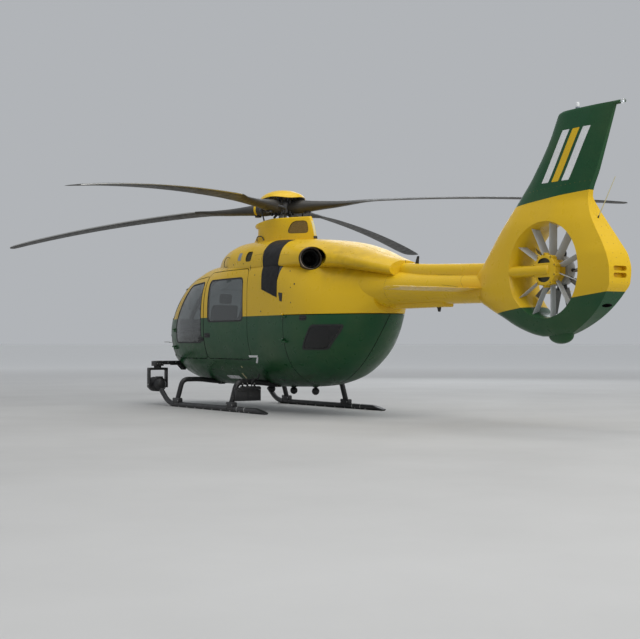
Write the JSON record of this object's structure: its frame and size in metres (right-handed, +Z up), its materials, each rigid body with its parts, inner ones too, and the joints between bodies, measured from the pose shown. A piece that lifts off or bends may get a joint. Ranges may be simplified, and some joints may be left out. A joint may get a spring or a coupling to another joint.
{
  "type": "light twin-engine helicopter",
  "caption": "Light rescue helicopter on skids with bearingless main rotor, shrouded tail fan, hinged cockpit and rear clamshell doors, searchlight and glazed hollow cabin.",
  "frame": {"origin": "on the floor, under the middle of the overall box", "axes": "+X towards the nose, +Y to the port side, +Z up"},
  "size_m": [11.524, 8.932, 3.6449],
  "materials": {
    "yellow_paint": "gloss yellow paint over composite skin, green below the livery line",
    "green_paint": "gloss dark green paint over composite skin",
    "glass": "tinted acrylic",
    "blade": "dark grey-brown composite blade",
    "hub_metal": "dark grey painted hub",
    "grey_paint": "light grey paint, yellow gearbox",
    "fan_metal": "grey painted fan",
    "exhaust_steel": "heat-stained steel",
    "engine_metal": "cast and machined alloy",
    "black_metal": "satin black paint",
    "black_plastic": "matte black",
    "seat_fabric": "dark woven cover",
    "floor_trim": "grey floor covering"
  },
  "bodies": {
    "airframe": {"cabin_shell": "yellow_paint", "tail_shroud": "yellow_paint", "mast_fairing": "yellow_paint", "tail_stator": "grey_paint", "belly_shell": "green_paint", "transmission_cowl": "yellow_paint", "tail_boom": "yellow_paint", "vertical_fin": "green_paint", "engine_cowl_left": "yellow_paint", "engine_cowl_right": "yellow_paint", "cross_tube_front": "black_metal", "cross_tube_rear": "black_metal", "sliding_door_left": "yellow_paint", "sliding_door_right": "yellow_paint", "power_pack": "engine_metal", "shaft_cover": "yellow_paint", "skid_left": "black_metal", "skid_right": "black_metal", "cabin_floor": "floor_trim", "windscreen_left": "glass", "windscreen_right": "glass", "exhaust_left": "exhaust_steel", "exhaust_right": "exhaust_steel", "quarter_window_left": "glass", "quarter_window_right": "glass", "chin_window_left": "glass", "chin_window_right": "glass", "instrument_panel": "black_plastic", "sliding_door_glass_left": "glass", "sliding_door_glass_right": "glass", "pilot_seat_right": "seat_fabric", "pilot_seat_left": "seat_fabric", "cabin_seats": "seat_fabric", "stabiliser_left": "yellow_paint", "stabiliser_right": "yellow_paint", "equipment_box": "black_metal", "searchlight_arm": "black_metal"},
    "main_rotor": {"rotor_head": "hub_metal", "rotor_cap": "yellow_paint", "rotor_blade_1": "blade", "rotor_blade_2": "blade", "rotor_blade_3": "blade", "rotor_blade_4": "blade"},
    "tail_fan": {"tail_fan": "fan_metal"},
    "searchlight_yoke": {"searchlight_yoke": "black_metal"},
    "searchlight_lamp": {"searchlight_lamp": "black_metal"},
    "front_door_left": {"front_door_left": "yellow_paint", "front_door_glass_left": "glass"},
    "tail_door_left": {"tail_door_left": "green_paint", "tail_door_glass_left": "glass"},
    "front_door_right": {"front_door_right": "yellow_paint", "front_door_glass_right": "glass"},
    "tail_door_right": {"tail_door_right": "green_paint", "tail_door_glass_right": "glass"}
  },
  "joints": [
    {"name": "main_rotor_spin", "type": "hinge", "parent": "airframe", "child": "main_rotor", "pos_m": [1.30801, 0, 3.06], "axis": [0.0304, 0, 0.9995], "continuous": true},
    {"name": "tail_fan_spin", "type": "hinge", "parent": "airframe", "child": "tail_fan", "pos_m": [-4.70599, 0, 1.808], "axis": [0, 1, 0], "continuous": true},
    {"name": "front_door_left_hinge", "type": "hinge", "parent": "airframe", "child": "front_door_left", "pos_m": [3.63801, 0.672, 1.1], "axis": [0, 0, -1], "range_deg": [0, 85]},
    {"name": "front_door_right_hinge", "type": "hinge", "parent": "airframe", "child": "front_door_right", "pos_m": [3.63801, -0.672, 1.1], "axis": [0, 0, 1], "range_deg": [0, 85]},
    {"name": "tail_door_left_hinge", "type": "hinge", "parent": "airframe", "child": "tail_door_left", "pos_m": [0.00801, 0.78, 1.1], "axis": [0, 0, -1], "range_deg": [0, 110]},
    {"name": "tail_door_right_hinge", "type": "hinge", "parent": "airframe", "child": "tail_door_right", "pos_m": [0.00801, -0.78, 1.1], "axis": [0, 0, 1], "range_deg": [0, 110]},
    {"name": "searchlight_pan", "type": "hinge", "parent": "airframe", "child": "searchlight_yoke", "pos_m": [3.75801, 0.92, 0.6], "axis": [0, 0, 1], "range_deg": [-90, 90]},
    {"name": "searchlight_tilt", "type": "hinge", "parent": "searchlight_yoke", "child": "searchlight_lamp", "pos_m": [3.75801, 0.92, 0.33], "axis": [0, 1, 0], "range_deg": [-20, 90]}
  ],
  "couplings": [
    {"joint": "tail_fan_spin", "follows": "main_rotor_spin", "ratio": 9.07}
  ]
}
